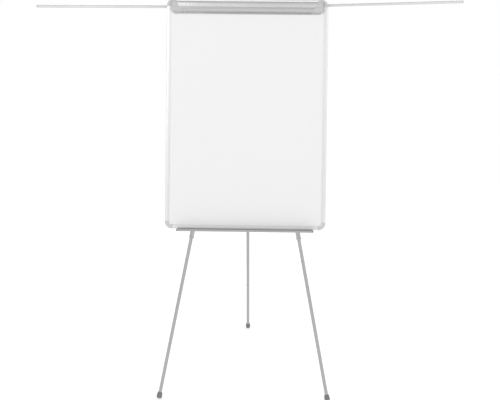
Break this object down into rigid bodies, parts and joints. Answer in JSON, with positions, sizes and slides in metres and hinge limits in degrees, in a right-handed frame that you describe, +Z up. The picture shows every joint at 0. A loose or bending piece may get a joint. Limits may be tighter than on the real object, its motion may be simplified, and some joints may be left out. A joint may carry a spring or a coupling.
{
  "type": "flipchart easel",
  "caption": "Folding tripod flipchart easel with a framed magnetic board, a sprung pad clamp, pull-out display arms, a pen tray and telescopic legs.",
  "frame": {"origin": "on the floor below the board's middle, halfway between the foremost and the rearmost foot", "axes": "+Z up, +X to the right of someone who faces the board, +Y from the board's face towards the rear leg"},
  "size_m": [1.8638, 0.9811, 1.7347],
  "materials": {
    "enamel_white": "gloss",
    "fibreboard": "matt",
    "backing_metal": "satin",
    "frame_metal": "satin anodised",
    "clamp_metal": "satin anodised",
    "corner_plastic": "fine grain",
    "clamp_plastic": "fine grain",
    "dark_plastic": "fine grain",
    "leg_chrome": "polished",
    "leg_paint": "silver grey",
    "arm_paint": "light grey",
    "tray_paint": "grey",
    "fastener_steel": "zinc plated",
    "foot_rubber": "matt",
    "pad_rubber": "matt"
  },
  "bodies": {
    "board": {"writing_surface": "enamel_white", "board_core": "fibreboard", "backing_sheet": "backing_metal", "frame_rail_top": "frame_metal", "frame_rail_bottom": "frame_metal", "frame_rail_left": "frame_metal", "frame_rail_right": "frame_metal", "corner_cap_top_left": "corner_plastic", "corner_cap_top_right": "corner_plastic", "corner_cap_bottom_left": "corner_plastic", "corner_cap_bottom_right": "corner_plastic", "corner_screws": "fastener_steel", "clamp_base": "clamp_metal", "clamp_base_screws": "fastener_steel", "clamp_hinge_pins": "fastener_steel", "clamp_springs": "fastener_steel", "pen_tray": "tray_paint", "tray_end_left": "dark_plastic", "tray_end_right": "dark_plastic", "tray_screws": "fastener_steel", "head_mount_plate": "fastener_steel", "tripod_head": "dark_plastic", "head_screws": "fastener_steel", "front_leg_pivots": "fastener_steel", "rear_leg_pivot": "fastener_steel", "leg_rest_pads": "pad_rubber", "arm_guide_left": "dark_plastic", "arm_guide_right": "dark_plastic", "arm_guide_screws": "fastener_steel"},
    "clamp": {"clamp_bar": "clamp_metal", "clamp_end_cap_left": "clamp_plastic", "clamp_end_cap_right": "clamp_plastic", "clamp_grip_strip": "pad_rubber"},
    "hook_left": {"pad_hook_left": "dark_plastic"},
    "hook_right": {"pad_hook_right": "dark_plastic"},
    "leg_left": {"leg_knuckle_left": "dark_plastic", "upper_leg_left": "leg_chrome", "leg_bush_left": "clamp_plastic"},
    "lock_left": {"lock_plug_left": "dark_plastic"},
    "lower_left": {"lower_leg_left": "leg_paint", "foot_left": "foot_rubber"},
    "leg_right": {"leg_knuckle_right": "dark_plastic", "upper_leg_right": "leg_chrome", "leg_bush_right": "clamp_plastic"},
    "lock_right": {"lock_plug_right": "dark_plastic"},
    "lower_right": {"lower_leg_right": "leg_paint", "foot_right": "foot_rubber"},
    "leg_rear": {"leg_knuckle_rear": "dark_plastic", "upper_leg_rear": "leg_chrome", "leg_bush_rear": "clamp_plastic"},
    "lock_rear": {"lock_plug_rear": "dark_plastic"},
    "lower_rear": {"lower_leg_rear": "leg_paint", "foot_rear": "foot_rubber"},
    "arm_left": {"display_arm_left": "arm_paint", "arm_tip_left": "corner_plastic", "arm_stop_left": "dark_plastic"},
    "arm_right": {"display_arm_right": "arm_paint", "arm_tip_right": "corner_plastic", "arm_stop_right": "dark_plastic"}
  },
  "joints": [
    {"name": "clamp_hinge", "type": "hinge", "parent": "board", "child": "clamp", "pos_m": [0, -0.22585, 1.71745], "axis": [-1, 0, 0], "range_deg": [0, 38], "stiffness_Nm_per_rad": 0.9, "springref_deg": -57.3},
    {"name": "hook_slide_left", "type": "slide", "parent": "board", "child": "hook_left", "axis": [-1, 0, 0], "range_m": [-0.11, 0.135]},
    {"name": "hook_slide_right", "type": "slide", "parent": "board", "child": "hook_right", "axis": [1, 0, 0], "range_m": [-0.11, 0.135]},
    {"name": "leg_splay_left", "type": "hinge", "parent": "board", "child": "leg_left", "pos_m": [-0.054, -0.19039, 1.64215], "axis": [0, -0.9848, 0.1736], "range_deg": [0, 10.8]},
    {"name": "leg_slide_left", "type": "slide", "parent": "leg_left", "child": "lock_left", "axis": [-0.1874, -0.1706, -0.9674], "range_m": [-0.684, 0.153]},
    {"name": "leg_twist_left", "type": "hinge", "parent": "lock_left", "child": "lower_left", "pos_m": [-0.37055, -0.47854, 0.00796], "axis": [-0.1874, -0.1706, -0.9674], "range_deg": [0, 180]},
    {"name": "leg_splay_right", "type": "hinge", "parent": "board", "child": "leg_right", "pos_m": [0.054, -0.19039, 1.64215], "axis": [0, 0.9848, -0.1736], "range_deg": [0, 10.8]},
    {"name": "leg_slide_right", "type": "slide", "parent": "leg_right", "child": "lock_right", "axis": [0.1874, -0.1706, -0.9674], "range_m": [-0.684, 0.153]},
    {"name": "leg_twist_right", "type": "hinge", "parent": "lock_right", "child": "lower_right", "pos_m": [0.37055, -0.47854, 0.00796], "axis": [0.1874, -0.1706, -0.9674], "range_deg": [0, 180]},
    {"name": "leg_fold_rear", "type": "hinge", "parent": "board", "child": "leg_rear", "pos_m": [0, -0.16258, 1.6271], "axis": [-1, 0, 0], "range_deg": [0, 31.6]},
    {"name": "leg_slide_rear", "type": "slide", "parent": "leg_rear", "child": "lock_rear", "axis": [0, 0.3681, -0.9298], "range_m": [-0.735, 0.102]},
    {"name": "leg_twist_rear", "type": "hinge", "parent": "lock_rear", "child": "lower_rear", "pos_m": [0, 0.47815, 0.00881], "axis": [0, 0.3681, -0.9298], "range_deg": [0, 180]},
    {"name": "arm_slide_left", "type": "slide", "parent": "board", "child": "arm_left", "axis": [-1, -0.0009, -0.0052], "range_m": [-0.57, 0.032]},
    {"name": "arm_slide_right", "type": "slide", "parent": "board", "child": "arm_right", "axis": [0.9994, 0.0061, 0.0344], "range_m": [-0.586, 0.016]}
  ]
}
